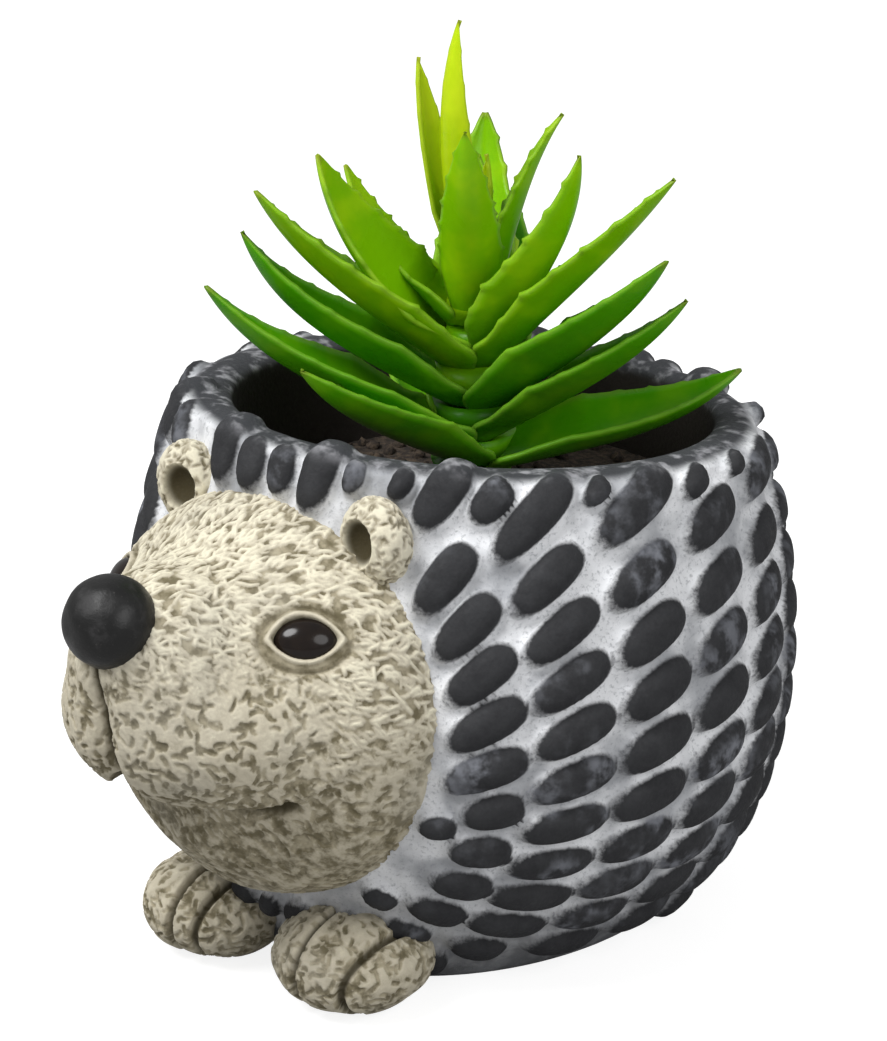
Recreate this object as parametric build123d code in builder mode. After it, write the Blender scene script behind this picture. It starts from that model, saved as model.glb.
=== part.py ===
"""Hedgehog planter with an artificial aloe.

A cast pot in the shape of a sitting hedgehog, with its head, ears, nose, eyes
and front paws, holds a foam plug and a layer of soil. A plastic plant stands
in the foam: a stake on which rosettes of leaves are pushed, one above another.
The animal looks along -Y, +Z is up, and the origin is on the axis of the plant
in the plane that the pot stands on. All sizes are in millimetres and degrees.
"""
from build123d import *
import math
import os

# Bowl: an oval foot, a round belly and a tilted rim
foot_half_x = 32.0
foot_half_y = 42.0
foot_shift_y = 2.0
belly_half_x = 55.0
belly_half_y = 53.5
belly_shift_y = -4.0
belly_height = 45.0
foot_swell_power = 0.85
rim_half_x = 48.0
rim_half_y = 45.0
rim_shift_y = -0.7
rim_height = 88.0
rim_tilt = 4.3
lip_round_outside = 1.6
lip_round_inside = 1.2
opening_radius = 40.5
floor_radius = 33.0
floor_thickness = 12.0
floor_round = 4.0
lower_section_shares = (0.0, 0.2, 0.5, 1.0)
upper_section_shares = (0.45, 0.8, 1.0)

# Quills: rounded bosses in rings around the face
quill_length = 14.0
quill_height = 2.6
quill_groove = 1.8
quill_rows = 38
quill_pitch_least = 7.8
quill_ring_pitch = 14.4
quill_lean = 17.0
quill_row_turn = 79.7
short_quill_share = 0.65
lip_row_drop = 4.6
lip_row_tries = 150
face_margin = 8.2
face_tilt = 3.0
quill_lip_margin = 0.5
quill_foot_margin = 1.5

# Head, a skull with a muzzle, a nose bridge and a jaw
skull_radius_x = 33.0
skull_radius_y = 28.0
skull_radius_z = 33.0
skull_sink = 11.5
skull_above_belly = 5.0
muzzle_radii = (22.0, 21.0, 15.0)
muzzle_forward = 18.0
muzzle_above_skull = 3.0
jaw_radii = (18.0, 13.5, 12.0)
jaw_forward = 9.0
jaw_below_skull = 15.0
bridge_radii = (14.0, 16.0, 13.0)
bridge_behind_nose = 12.3
bridge_below_nose = 8.0

# Nose, eyes and ears
nose_radius = 7.5
nose_forward = 36.3
nose_above_skull = 22.0
eye_radii = (4.4, 2.8, 3.3)
eye_turn = 48.5
eye_pitch = 33.9
ear_radii = (6.5, 4.5, 7.2)
ear_dish_radii = (4.2, 3.6, 4.8)
ear_dish_forward = 5.0
ear_lean = 34.0
ear_lift = 1.09
ear_forward = 1.3

# Front paws with toe grooves
paw_radii = (13.0, 13.5, 8.7)
paw_center_height = 8.0
paw_apart = 30.0
paw_reach = 5.5
toe_groove_width = 1.3
toe_groove_depth = 1.6
toe_groove_apart = 8.0

# Filling of the bowl
soil_below_rim = 17.0
soil_depth = 7.0
soil_dome = 1.5
filling_gap = 0.15
bond_gap = 0.1

# Stem of the plant
stem_radius = 2.0
stem_point_height = 20.0
stem_point_length = 6.0
stem_hole_depth_spare = 2.0
stem_fit = 0.08
soil_hole_gap = 0.5
collar_radius = 5.0
collar_thickness = 3.0
collar_seat_gap = 0.3

# Leaf rosettes, from the lowest to the top tuft
whorl_names = (
    "leaf_whorl_1",
    "leaf_whorl_2",
    "leaf_whorl_3",
    "leaf_whorl_4",
    "leaf_whorl_5",
    "crown_whorl",
    "top_tuft",
)
leaf_counts = (3, 3, 3, 3, 3, 4, 3)
leaf_lengths = (46.0, 50.0, 49.0, 51.0, 41.0, 35.0, 45.5)
leaf_rises = (26.0, 34.0, 39.0, 44.0, 55.0, 62.0, 85.0)
leaf_half_widths = (6.0, 6.0, 5.8, 5.6, 5.2, 4.6, 3.6)
leaf_depths = (4.2, 4.2, 4.0, 3.8, 3.0, 2.4, 1.6)
leaf_turns = (34.0, 9.0, 2.0, 10.0, 7.0, -53.0, -23.0)
leaf_thickness = 1.0
leaf_sag_share = 0.06
leaf_root_share = 0.6
leaf_tip_share = 0.05
leaf_widest_share = 0.3
leaf_taper_power = 0.8
leaf_section_shares = (0.0, 0.15, 0.3, 0.5, 0.7, 0.85, 0.95, 1.0)
hub_pitch = 5.0
hub_radius = 5.2
hub_gap = 0.6
hub_bite = 2.0

os.makedirs("parts", exist_ok=True)


def bowl_section(height):
    """Half widths, shift and tilt of the bowl's outside at a height."""
    if height <= belly_height:
        share = math.sin(math.radians(90 * height / belly_height)) ** foot_swell_power
        half_x = foot_half_x + (belly_half_x - foot_half_x) * share
        half_y = foot_half_y + (belly_half_y - foot_half_y) * share
        shift = foot_shift_y + (belly_shift_y - foot_shift_y) * share
        return half_x, half_y, shift, 0.0
    rise = (height - belly_height) / (rim_height - belly_height)
    share = 1 - math.cos(math.radians(90 * rise))
    half_x = belly_half_x + (rim_half_x - belly_half_x) * share
    half_y = belly_half_y + (rim_half_y - belly_half_y) * share
    shift = belly_shift_y + (rim_shift_y - belly_shift_y) * rise
    return half_x, half_y, shift, rim_tilt * rise


def bowl_skin(grow):
    """The bowl's outside as a solid, grown all round by a clearance."""
    lower = [belly_height * share for share in lower_section_shares]
    upper = [belly_height + (rim_height - belly_height) * share for share in upper_section_shares]
    with BuildPart() as skin:
        for height in lower + upper:
            half_x, half_y, shift, tilt = bowl_section(height)
            slope = math.tan(math.radians(tilt))
            center = (0, shift, height - shift * slope)
            with BuildSketch(Plane(center, x_dir=(1, 0, 0), z_dir=(0, slope, 1))):
                Ellipse(half_x + grow, half_y + grow)
        loft()
    return skin.part


def bowl_front(x, height):
    """Place along Y of the bowl's front wall, to one side and at a height."""
    half_x, half_y, shift, tilt = bowl_section(height)
    return shift - half_y * math.sqrt(1 - (x / half_x) ** 2)


def rim_level(y):
    """Height of the tilted rim at a place along Y."""
    return rim_height - y * math.tan(math.radians(rim_tilt))


def cavity_radius(height, gap):
    """Radius of the bowl's inside at a height, less a gap."""
    share = (height - floor_thickness) / (rim_height - floor_thickness)
    return floor_radius + (opening_radius - floor_radius) * share - gap


def ellipsoid(center, radii):
    """A closed ellipsoid with its axes along X, Y and Z."""
    with BuildPart() as form:
        Sphere(1)
        scale(by=radii)
    return Pos(*center) * form.part


def grown(radii, gap):
    """Radii of an ellipsoid with a clearance all round."""
    return tuple(radius + gap for radius in radii)


def within(point, center, radii):
    """Whether a point lies inside an ellipsoid."""
    return sum(((p - c) / r) ** 2 for p, c, r in zip(point, center, radii)) < 1


# Bowl with its planting hole
outside = bowl_skin(0)
with BuildPart() as bowl:
    add(outside)
    with BuildSketch(Plane.XZ) as cavity_profile:
        with BuildLine():
            above = 2 * rim_height - floor_thickness
            Polyline(
                (0, floor_thickness),
                (floor_radius, floor_thickness),
                (cavity_radius(above, 0), above),
                (0, above),
                close=True,
            )
        make_face()
        fillet(cavity_profile.vertices().sort_by(Axis.Y)[:2].sort_by(Axis.X)[-1], floor_round)
    revolve(axis=Axis.Z, mode=Mode.SUBTRACT)
    lip = bowl.faces().filter_by(GeomType.PLANE).sort_by(Axis.Z)[-1]
    fillet(lip.outer_wire().edges(), lip_round_outside)
    lip = bowl.faces().filter_by(GeomType.PLANE).sort_by(Axis.Z)[-1]
    fillet(lip.inner_wires()[0].edges(), lip_round_inside)
bowl.part.label = "bowl"
export_step(bowl.part, "parts/bowl.step")

# Places of the head's forms
seat = bowl_skin(bond_gap)
skull_radii = (skull_radius_x, skull_radius_y, skull_radius_z)
skull_center = Vector(0, belly_shift_y - belly_half_y + skull_sink, belly_height + skull_above_belly)
muzzle_center = skull_center + Vector(0, -muzzle_forward, muzzle_above_skull)
jaw_center = skull_center + Vector(0, -jaw_forward, -jaw_below_skull)
nose_center = skull_center + Vector(0, -nose_forward, nose_above_skull)
bridge_center = nose_center + Vector(0, bridge_behind_nose, -bridge_below_nose)
head_forms = (
    (skull_center, skull_radii),
    (muzzle_center, muzzle_radii),
    (jaw_center, jaw_radii),
    (bridge_center, bridge_radii),
)
sides = (("left", 1), ("right", -1))


def eye_center(side):
    """The middle of an eye, on the skin of the skull."""
    turn = math.radians(eye_turn)
    pitch = math.radians(eye_pitch)
    return skull_center + Vector(
        side * skull_radius_x * math.sin(turn) * math.cos(pitch),
        -skull_radius_y * math.cos(turn) * math.cos(pitch),
        skull_radius_z * math.sin(pitch),
    )


def ear_center(side):
    """The middle of an ear, above an upper corner of the skull and on the bowl's front."""
    lean = math.radians(ear_lean)
    across = side * skull_radius_x * math.sin(lean) * ear_lift
    height = skull_center.Z + skull_radius_z * math.cos(lean) * ear_lift
    return Vector(across, bowl_front(across, height) - ear_forward, height)


def paw_center(side):
    """The middle of a front paw, at the foot of the bowl."""
    return Vector(side * paw_apart / 2, foot_shift_y - foot_half_y - paw_reach, paw_center_height)


# Nose ball
with BuildPart() as nose:
    with Locations(nose_center):
        Sphere(nose_radius)
nose.part.label = "nose"
export_step(nose.part, "parts/nose.step")

# Head with the seats of the nose and the eyes
forms = [ellipsoid(center, radii) for center, radii in head_forms]
eye_sockets = [ellipsoid(eye_center(side), grown(eye_radii, bond_gap)) for name, side in sides]
with BuildPart() as head:
    add(forms)
    add(seat, mode=Mode.SUBTRACT)
    add(eye_sockets, mode=Mode.SUBTRACT)
    with Locations(nose_center):
        Sphere(nose_radius + bond_gap, mode=Mode.SUBTRACT)
head.part.label = "head"
export_step(head.part, "parts/head.step")

# Eyes, ears and paws, one of each on either side
skull_seat = ellipsoid(skull_center, grown(skull_radii, bond_gap))
for name, side in sides:
    eye_bead = ellipsoid(eye_center(side), eye_radii)
    with BuildPart() as eye:
        add(eye_bead)
    eye.part.label = f"{name}_eye"
    export_step(eye.part, f"parts/{name}_eye.step")

    ear_form = ellipsoid(ear_center(side), ear_radii)
    ear_dish = ellipsoid(ear_center(side) + Vector(0, -ear_dish_forward, 0), ear_dish_radii)
    with BuildPart() as ear:
        add(ear_form)
        add(ear_dish, mode=Mode.SUBTRACT)
        add(seat, mode=Mode.SUBTRACT)
        add(skull_seat, mode=Mode.SUBTRACT)
    ear.part.label = f"{name}_ear"
    export_step(ear.part, f"parts/{name}_ear.step")

    paw_form = ellipsoid(paw_center(side), paw_radii)
    paw_core = ellipsoid(paw_center(side), grown(paw_radii, -toe_groove_depth))
    with BuildPart() as toe_grooves:
        with Locations(paw_center(side)):
            with GridLocations(toe_groove_apart, 0, 2, 1):
                Box(toe_groove_width, 2 * paw_radii[1], 2 * paw_radii[2])
        add(paw_core, mode=Mode.SUBTRACT)
    with BuildPart() as paw:
        add(paw_form)
        split(bisect_by=Plane.XY, keep=Keep.TOP)
        add(toe_grooves.part, mode=Mode.SUBTRACT)
        add(seat, mode=Mode.SUBTRACT)
        add(skull_seat, mode=Mode.SUBTRACT)
    paw.part.label = f"{name}_paw"
    export_step(paw.part, f"parts/{name}_paw.step")

# Quills, set on the bowl in rings around the face, short ones where a long one has no room
ring_pole = Vector(0, belly_shift_y, belly_height)
first_ring = math.degrees(math.asin((skull_radius_x + face_margin) / belly_half_x))
ring_step = math.degrees(quill_ring_pitch / belly_half_x)
kept_clear = list(head_forms)
for name, side in sides:
    kept_clear.append((ear_center(side), ear_radii))
    kept_clear.append((paw_center(side), paw_radii))


def quill_seat(start, way):
    """The plane on the bowl where a quill sits: it points away from the face and leans upwards."""
    hits = outside.find_intersection_points(Axis(start, way))
    point, normal = next((p, n) for p, n in hits if (p - start).dot(way) > 0)
    outward = (point - ring_pole).normalized()
    turn = math.atan2(outward.X, outward.Z)
    lean = quill_lean * math.sin(turn) * math.cos(turn / 2) ** 2 * 2
    along = Vector(0, 1, 0) - outward * outward.Y
    along = along.rotate(Axis((0, 0, 0), normal), lean)
    return Plane(point + normal * bond_gap, x_dir=along, z_dir=normal)


def has_room(plane, length, width):
    """Whether a quill fits above the foot and beside the animal's head, with its middle below the lip."""
    steepness = abs(plane.x_dir.Z)
    half_height = (length * steepness + width * (1 - steepness)) / 2
    lowest = quill_foot_margin + half_height
    highest = rim_level(plane.origin.Y) - quill_lip_margin - lip_round_outside
    if not lowest < plane.origin.Z < highest:
        return False
    return not any(within(plane.origin, center, grown(radii, length / 2)) for center, radii in kept_clear)


def crowded(plane, length, width):
    """Whether a quill would come too close to one that is there already."""
    for other, other_length, other_width in quill_places:
        gap = plane.origin - other.origin
        along = gap.dot(other.x_dir) / ((length + other_length) / 2 + quill_groove)
        across = gap.dot(other.y_dir) / ((width + other_width) / 2 + quill_groove)
        if math.hypot(along, across) < 1:
            return True
    return False


quill_places = []
short_length = quill_length * short_quill_share
ring_angle = first_ring
ring_index = 0
while ring_angle < 180:
    ring = math.radians(ring_angle)
    girth = 2 * math.pi * belly_half_x * math.sin(ring)
    count = max(1, min(quill_rows, round(girth / quill_pitch_least)))
    width = girth / count - quill_groove
    lengths = (short_length,) if ring_index == 0 else (quill_length, short_length)
    for place in range(count):
        turn = math.radians(quill_row_turn) + 2 * math.pi * (place + ring_index % 2 / 2) / count
        way = Vector(math.sin(ring) * math.sin(turn), -math.cos(ring), math.sin(ring) * math.cos(turn))
        plane = quill_seat(ring_pole, way.rotate(Axis.X, -face_tilt))
        fitting = [length for length in lengths if has_room(plane, length, width)]
        if fitting:
            quill_places.append((plane, fitting[0], width))
    ring_angle += ring_step * (quill_length + lengths[0]) / (2 * quill_length)
    ring_index += 1

# Short quills just under the lip, where the rings leave room for them
short_width = quill_pitch_least - quill_groove
for place in range(lip_row_tries):
    turn = 2 * math.pi * place / lip_row_tries
    height = rim_level(rim_shift_y + rim_half_y * math.sin(turn)) - lip_row_drop
    plane = quill_seat(Vector(0, 0, height), Vector(math.cos(turn), math.sin(turn), 0))
    if has_room(plane, short_length, short_width) and not crowded(plane, short_length, short_width):
        quill_places.append((plane, short_length, short_width))

# Each quill is half an ellipsoid, cut off flush with the rim where it would stand above it
rim_slope = math.tan(math.radians(rim_tilt))
rim_plane = Plane((0, 0, rim_height - quill_lip_margin), z_dir=(0, rim_slope, 1))
quill_solids = []
for plane, length, width in quill_places:
    quill_core = ellipsoid((0, 0, 0), (length / 2, width / 2, quill_height))
    with BuildPart() as quill:
        add(plane.location * quill_core)
        split(bisect_by=plane, keep=Keep.TOP)
        split(bisect_by=rim_plane, keep=Keep.BOTTOM)
    quill_solids.append(quill.part.solid())
quills = Compound(quill_solids)
quills.label = "quills"
export_step(quills, "parts/quills.step")

# Foam plug with the hole for the stake
soil_top = rim_height - soil_below_rim
foam_top = soil_top - soil_depth
with BuildPart() as foam_plug:
    with BuildSketch(Plane.XZ) as foam_profile:
        with BuildLine():
            Polyline(
                (0, floor_thickness),
                (cavity_radius(floor_thickness, filling_gap), floor_thickness),
                (cavity_radius(foam_top, filling_gap), foam_top),
                (0, foam_top),
                close=True,
            )
        make_face()
        fillet(foam_profile.vertices().sort_by(Axis.Y)[:2].sort_by(Axis.X)[-1], floor_round)
    revolve(axis=Axis.Z)
    with Locations((0, 0, foam_top)):
        Hole(stem_radius + stem_fit, depth=foam_top - stem_point_height + stem_hole_depth_spare)
foam_plug.part.label = "foam_plug"
export_step(foam_plug.part, "parts/foam_plug.step")

# Soil topping, slightly domed
soil_edge = soil_top - soil_dome
with BuildPart() as soil_topping:
    with BuildSketch(Plane.XZ):
        with BuildLine():
            hole = stem_radius + soil_hole_gap
            edge = cavity_radius(soil_edge, filling_gap)
            Polyline((hole, soil_top), (hole, foam_top), (cavity_radius(foam_top, filling_gap), foam_top))
            Line((cavity_radius(foam_top, filling_gap), foam_top), (edge, soil_edge))
            ThreePointArc((edge, soil_edge), (edge / 2, soil_top - soil_dome / 4), (hole, soil_top))
        make_face()
    revolve(axis=Axis.Z)
soil_topping.part.label = "soil_topping"
export_step(soil_topping.part, "parts/soil_topping.step")

# Stem with its stake and collar
hub_height = hub_pitch - hub_gap
collar_bottom = soil_top + collar_seat_gap
first_hub_bottom = collar_bottom + collar_thickness + hub_gap / 2
top_hub_bottom = first_hub_bottom + hub_pitch * (len(whorl_names) - 1)
stem_top = top_hub_bottom + hub_height / 2
with BuildPart() as stem:
    with BuildSketch(Plane.XZ):
        with BuildLine():
            Polyline(
                (0, stem_point_height),
                (stem_radius, stem_point_height + stem_point_length),
                (stem_radius, stem_top),
                (0, stem_top),
                close=True,
            )
        make_face()
    revolve(axis=Axis.Z)
    with Locations((0, 0, collar_bottom)):
        Cylinder(collar_radius, collar_thickness, align=(Align.CENTER, Align.CENTER, Align.MIN))
stem.part.label = "stem"
export_step(stem.part, "parts/stem.step")

# Leaf rosettes: channelled blades on a hub, each rosette free to turn above the one below it
def leaf_spread(share):
    """Width and depth of a leaf along its length, as a share of the widest place."""
    if share < leaf_widest_share:
        swell = math.sin(math.radians(90 * share / leaf_widest_share))
        return leaf_root_share + (1 - leaf_root_share) * swell
    taper = math.cos(math.radians(90 * (share - leaf_widest_share) / (1 - leaf_widest_share)))
    return leaf_tip_share + (1 - leaf_tip_share) * max(taper, 0) ** leaf_taper_power


def leaf_blade(index, turn, root_height):
    """One leaf: crescent sections along an arc that curls upwards."""
    length = leaf_lengths[index]
    rise = math.radians(leaf_rises[index])
    curl = 2 * math.atan(2 * leaf_sag_share)
    bend = length / (2 * math.sin(curl))
    start = rise - curl
    out = Vector(math.cos(turn), math.sin(turn), 0)
    across = Vector(-math.sin(turn), math.cos(turn), 0)
    sections = []
    for share in leaf_section_shares:
        slope = start + 2 * curl * share
        reach = hub_radius - hub_bite + bend * (math.sin(slope) - math.sin(start))
        height = root_height + bend * (math.cos(start) - math.cos(slope))
        place = out * reach + Vector(0, 0, height)
        heading = out * math.cos(slope) + Vector(0, 0, math.sin(slope))
        half_width = leaf_half_widths[index] * leaf_spread(share)
        depth = leaf_depths[index] * leaf_spread(share)
        thickness = leaf_thickness * leaf_spread(share)
        with BuildSketch(Plane(place, x_dir=across, z_dir=heading)) as section:
            with BuildLine():
                ThreePointArc((-half_width, depth), (0, 0), (half_width, depth))
                ThreePointArc((half_width, depth), (0, thickness), (-half_width, depth))
            make_face()
        sections.append(section.sketch.face())
    with BuildPart() as blade:
        loft(sections)
    return blade.part


for index, name in enumerate(whorl_names):
    hub_bottom = first_hub_bottom + hub_pitch * index
    turns = [leaf_turns[index] + 360 * place / leaf_counts[index] for place in range(leaf_counts[index])]
    blades = [leaf_blade(index, math.radians(turn), hub_bottom) for turn in turns]
    with BuildPart() as whorl:
        with Locations((0, 0, hub_bottom)):
            Cylinder(hub_radius, hub_height, align=(Align.CENTER, Align.CENTER, Align.MIN))
        add(blades)
        with Locations((0, 0, min(hub_bottom + hub_height, stem_top + hub_gap))):
            Hole(stem_radius + stem_fit, depth=hub_height)
    whorl.part.label = name
    export_step(whorl.part, f"parts/{name}.step")
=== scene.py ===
import bmesh
import bpy
import math
import random
import numpy as np
from mathutils import Matrix, Vector, kdtree, noise
from mathutils.bvhtree import BVHTree


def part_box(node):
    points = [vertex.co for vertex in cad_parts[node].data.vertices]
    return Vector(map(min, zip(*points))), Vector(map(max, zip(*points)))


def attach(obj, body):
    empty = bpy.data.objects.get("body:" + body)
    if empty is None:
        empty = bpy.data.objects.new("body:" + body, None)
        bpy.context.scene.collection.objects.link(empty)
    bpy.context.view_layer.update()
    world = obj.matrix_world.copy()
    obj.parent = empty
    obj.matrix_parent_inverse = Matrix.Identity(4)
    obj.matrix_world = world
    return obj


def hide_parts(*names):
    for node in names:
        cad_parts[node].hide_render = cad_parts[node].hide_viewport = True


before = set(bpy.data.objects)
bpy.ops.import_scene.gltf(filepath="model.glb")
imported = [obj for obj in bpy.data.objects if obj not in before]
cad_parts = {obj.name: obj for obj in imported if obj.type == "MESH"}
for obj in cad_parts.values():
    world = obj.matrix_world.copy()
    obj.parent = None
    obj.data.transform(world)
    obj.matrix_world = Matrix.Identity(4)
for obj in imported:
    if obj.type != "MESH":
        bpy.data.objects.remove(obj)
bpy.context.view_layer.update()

# Pot: one thick grey casting, open at the top, with rows of quills standing out in relief.
# It is washed with white that stays in the grooves, and the quills are brushed with charcoal.
# The inside is left plain and dark, partly its own dark paint and partly painted shade, and the flat foot
# stands on the table.
mm = 0.001
pot_columns = 500
wall_rows = 122
lip_rows = 14
inner_rows = 12
foot_shares = (0.08, 0.5, 0.9, 0.985)
foot_lift = 0.6 * mm
lip_round = 2.4 * mm
inner_depth = 24 * mm
inner_taper = 2 * mm
probe_from = 0.3
probe_drop = 12 * mm
probe_wall = 4 * mm
quill_relief = 2.3 * mm
quill_stretch = 0.9 * mm
quill_widen = 0.3 * mm
quill_over_lip = 1.3 * mm
quill_to_face = 6 * mm
lip_quill_widths = np.linspace(3.4, 1.9, 7) * mm
wall_quill_widths = (3.0 * mm, 2.6 * mm, 2.2 * mm)
wall_quill_step = 2.5 * mm
wall_quill_foot = 6 * mm
fill_quill_ratio = 1.5
fill_quill_gap = 0.07
fill_quill_near = 17 * mm
back_facing = 0.94
head_room = 1.4 * mm
quill_squareness = 2.5
quill_egg = 0.12
quill_soft_end = 0.12
quill_wrap = 5 * mm
quill_crown = 0.75
quill_slope = 0.12
groove_depth = 0.35 * mm
groove_reach = 0.3
foot_fade_rows = 3
lip_fade = (0.45, 0.4)
face_middle = np.array((0, -60, 50)) * mm


def cad_surface(name):
    """The surface of a CAD node, for finding places on it."""
    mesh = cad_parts[name].data
    return BVHTree.FromPolygons([v.co for v in mesh.vertices], [p.vertices for p in mesh.polygons])


def cad_solids(name):
    """The corner points of each separate solid of a CAD node."""
    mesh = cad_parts[name].data
    points = np.array([v.co[:] for v in mesh.vertices])
    pairs = np.array([e.vertices[:] for e in mesh.edges])
    places, place = np.unique(np.round(points, 6), axis=0, return_inverse=True)
    pairs = place.reshape(-1)[pairs]
    owner = np.arange(len(places))
    before = None
    while before is None or (owner != before).any():
        before = owner.copy()
        lower = np.minimum(owner[pairs[:, 0]], owner[pairs[:, 1]])
        np.minimum.at(owner, pairs[:, 0], lower)
        np.minimum.at(owner, pairs[:, 1], lower)
        owner = owner[owner]
    return [places[owner == label] for label in np.unique(owner)]


bowl_surface = cad_surface("bowl")
bowl_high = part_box("bowl")[1]
columns = [Vector((math.cos(a), math.sin(a), 0)) for a in np.arange(pot_columns) * 2 * math.pi / pot_columns]
pot_rows = []
lip_tops = []
inner_radii = []
wall_points = []
for way in columns:
    inner = bowl_surface.ray_cast(Vector((0, 0, bowl_high.z - probe_drop)), way)[0].xy.length
    over_wall = way * (inner + probe_wall) + Vector((0, 0, 2 * bowl_high.z))
    lip_top = bowl_surface.ray_cast(over_wall, Vector((0, 0, -1)))[0].z
    lip_tops.append(lip_top)
    inner_radii.append(inner)
    heights = np.linspace(foot_lift, lip_top - lip_round, wall_rows)
    starts = [way * probe_from + Vector((0, 0, height)) for height in heights]
    wall_points.append([bowl_surface.ray_cast(start, -way)[0] for start in starts])
wall_points = np.array(wall_points).transpose(1, 0, 2)
flat = np.array([way[:] for way in columns])
lip_tops = np.array(lip_tops)
outer_radii = np.linalg.norm(wall_points[-1, :, :2], axis=1)
inner_radii = np.array(inner_radii)
for share in foot_shares:
    pot_rows.append(wall_points[0] * (share, share, 0))
pot_rows.extend(wall_points)
for turn in np.linspace(0, math.pi, lip_rows + 1)[1:]:
    middle = (outer_radii + inner_radii) / 2
    radius = middle + (outer_radii - middle) * math.cos(turn)
    height = lip_tops - lip_round * (1 - math.sin(turn))
    pot_rows.append(flat * radius[:, None] + np.outer(height, (0, 0, 1)))
for drop in np.linspace(0, 1, inner_rows + 1)[1:]:
    start = lip_tops - lip_round
    radius = inner_radii - inner_taper * drop
    height = start + (bowl_high.z - inner_depth - start) * drop
    pot_rows.append(flat * radius[:, None] + np.outer(height, (0, 0, 1)))
pot_points = np.array(pot_rows)
upward = np.gradient(pot_points, axis=0)
around = np.roll(pot_points, -1, axis=1) - np.roll(pot_points, 1, axis=1)
pot_normals = np.cross(around, upward)
pot_normals /= np.linalg.norm(pot_normals, axis=2, keepdims=True) + 1e-12

face_surfaces = [cad_surface(name) for name in ("head", "left_ear", "right_ear")]
quills = []
tones = random.Random(4)
for solid in cad_solids("quills"):
    seat, out = bowl_surface.find_nearest(Vector(solid.mean(axis=0)))[:2]
    out = np.array(out)
    middle = (solid.min(axis=0) + solid.max(axis=0)) / 2
    spread = solid - middle
    spread = spread - np.outer(spread @ out, out)
    along = np.linalg.svd(spread, full_matrices=False)[2][0]
    along = along * np.sign(along @ (middle - face_middle))
    u = spread @ along
    v = spread @ np.cross(out, along)
    middle = middle + along * (u.min() + u.max()) / 2 + np.cross(out, along) * (v.min() + v.max()) / 2
    stretch = quill_stretch if out[1] < back_facing else -quill_stretch
    half_length = (u.max() - u.min()) / 2 + stretch
    half_width = (v.max() - v.min()) / 2 + quill_widen
    column = round(math.atan2(seat.y, seat.x) * pot_columns / (2 * math.pi)) % pot_columns
    if solid[:, 2].max() > lip_tops[column] - lip_round:
        half_length += quill_over_lip
        middle = middle + along * np.sign(along[2]) * quill_over_lip
    near_end = middle - along * half_length
    face_gap = min(surface.find_nearest(Vector(near_end))[3] for surface in face_surfaces)
    if head_room < face_gap < quill_to_face:
        half_length += (face_gap - head_room) / 2
        middle = middle - along * (face_gap - head_room) / 2
    quills.append((middle, along, out, half_length, half_width))


def quill_reach(points, quill):
    """How far points lie inside a quill's outline: 1 at its middle, 0 on it; and how far along it."""
    middle, along, out, half_length, half_width = quill
    gap = points - middle
    u = gap @ along / half_length
    v = gap @ np.cross(out, along) / (half_width * (1 + quill_egg * np.clip(u, -1.2, 1.2)))
    reach = (np.abs(u) ** quill_squareness + np.abs(v) ** quill_squareness) ** (1 / quill_squareness)
    return np.where(np.abs(gap @ out) < quill_wrap, 1 - reach, -1), u


def fill_quill(way, height, half_width):
    """A quill added where the wall has room for one, lying along its nearest neighbour."""
    half_length = half_width * fill_quill_ratio
    seat, out = bowl_surface.ray_cast(way * probe_from + Vector((0, 0, height)), -way)[:2]
    if min(surface.find_nearest(seat)[3] for surface in face_surfaces) < head_room + half_width:
        return
    seat, out = np.array(seat), np.array(out)
    beside = [quill for quill in quills if np.linalg.norm(quill[0] - seat) < fill_quill_near]
    along = min(beside, key=lambda quill: np.linalg.norm(quill[0] - seat))[1]
    along = along - out * (along @ out)
    along = along / np.linalg.norm(along)
    turns = np.linspace(0, 2 * math.pi, 16)
    edge = np.outer(np.cos(turns), along * half_length)
    edge = edge + np.outer(np.sin(turns), np.cross(out, along) * half_width)
    edge = np.vstack((edge, edge / 2)) + seat
    if max(quill_reach(edge, quill)[0].max() for quill in beside) < -fill_quill_gap:
        quills.append((seat, along, out, half_length, half_width))


for half_width in lip_quill_widths:
    for way, lip_top in zip(columns, lip_tops):
        fill_quill(way, lip_top - 0.9 * fill_quill_ratio * half_width, half_width)
for half_width in wall_quill_widths:
    for height in np.arange(wall_quill_foot, bowl_high.z - lip_round, wall_quill_step):
        for way, lip_top in zip(columns[::5], lip_tops[::5]):
            if height < lip_top - lip_round:
                fill_quill(way, height, half_width)

quill_field = np.full(pot_points.shape[:2], -1.0)
quill_end = np.zeros(pot_points.shape[:2])
quill_tone = np.zeros(pot_points.shape[:2])
for quill in quills:
    field, u = quill_reach(pot_points, quill)
    nearer = field > quill_field
    quill_field = np.where(nearer, field, quill_field)
    quill_end = np.where(nearer, u, quill_end)
    quill_tone = np.where(nearer, tones.random(), quill_tone)
inside = np.clip(quill_field, 0, 1)
relief = quill_relief * (1 - (1 - inside) ** 3) ** quill_crown * (1 - quill_slope * quill_end)
outside = np.clip(-quill_field / groove_reach, 0, 1)
relief -= groove_depth * (3 * outside**2 - 2 * outside**3)
row_share = np.arange(len(pot_rows)) - (len(foot_shares) + wall_rows)
over_lip = np.clip(row_share / lip_rows, 0, 1)
relief *= np.clip((np.arange(len(pot_rows)) - len(foot_shares)) / foot_fade_rows, 0, 1)[:, None]
relief *= (1 - np.clip((over_lip - lip_fade[0]) / lip_fade[1], 0, 1))[:, None]
pot_points = pot_points + pot_normals * relief[:, :, None]


def spin_round(built, corners, steps):
    """Turns a chain of corners about the pot's axis into a closed round surface."""
    chain = [built.edges.new(pair) for pair in zip(corners, corners[1:])]
    bmesh.ops.spin(
        built, geom=corners + chain, axis=(0, 0, 1), cent=(0, 0, 0),
        angle=2 * math.pi, steps=steps, use_merge=True,
    )


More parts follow.
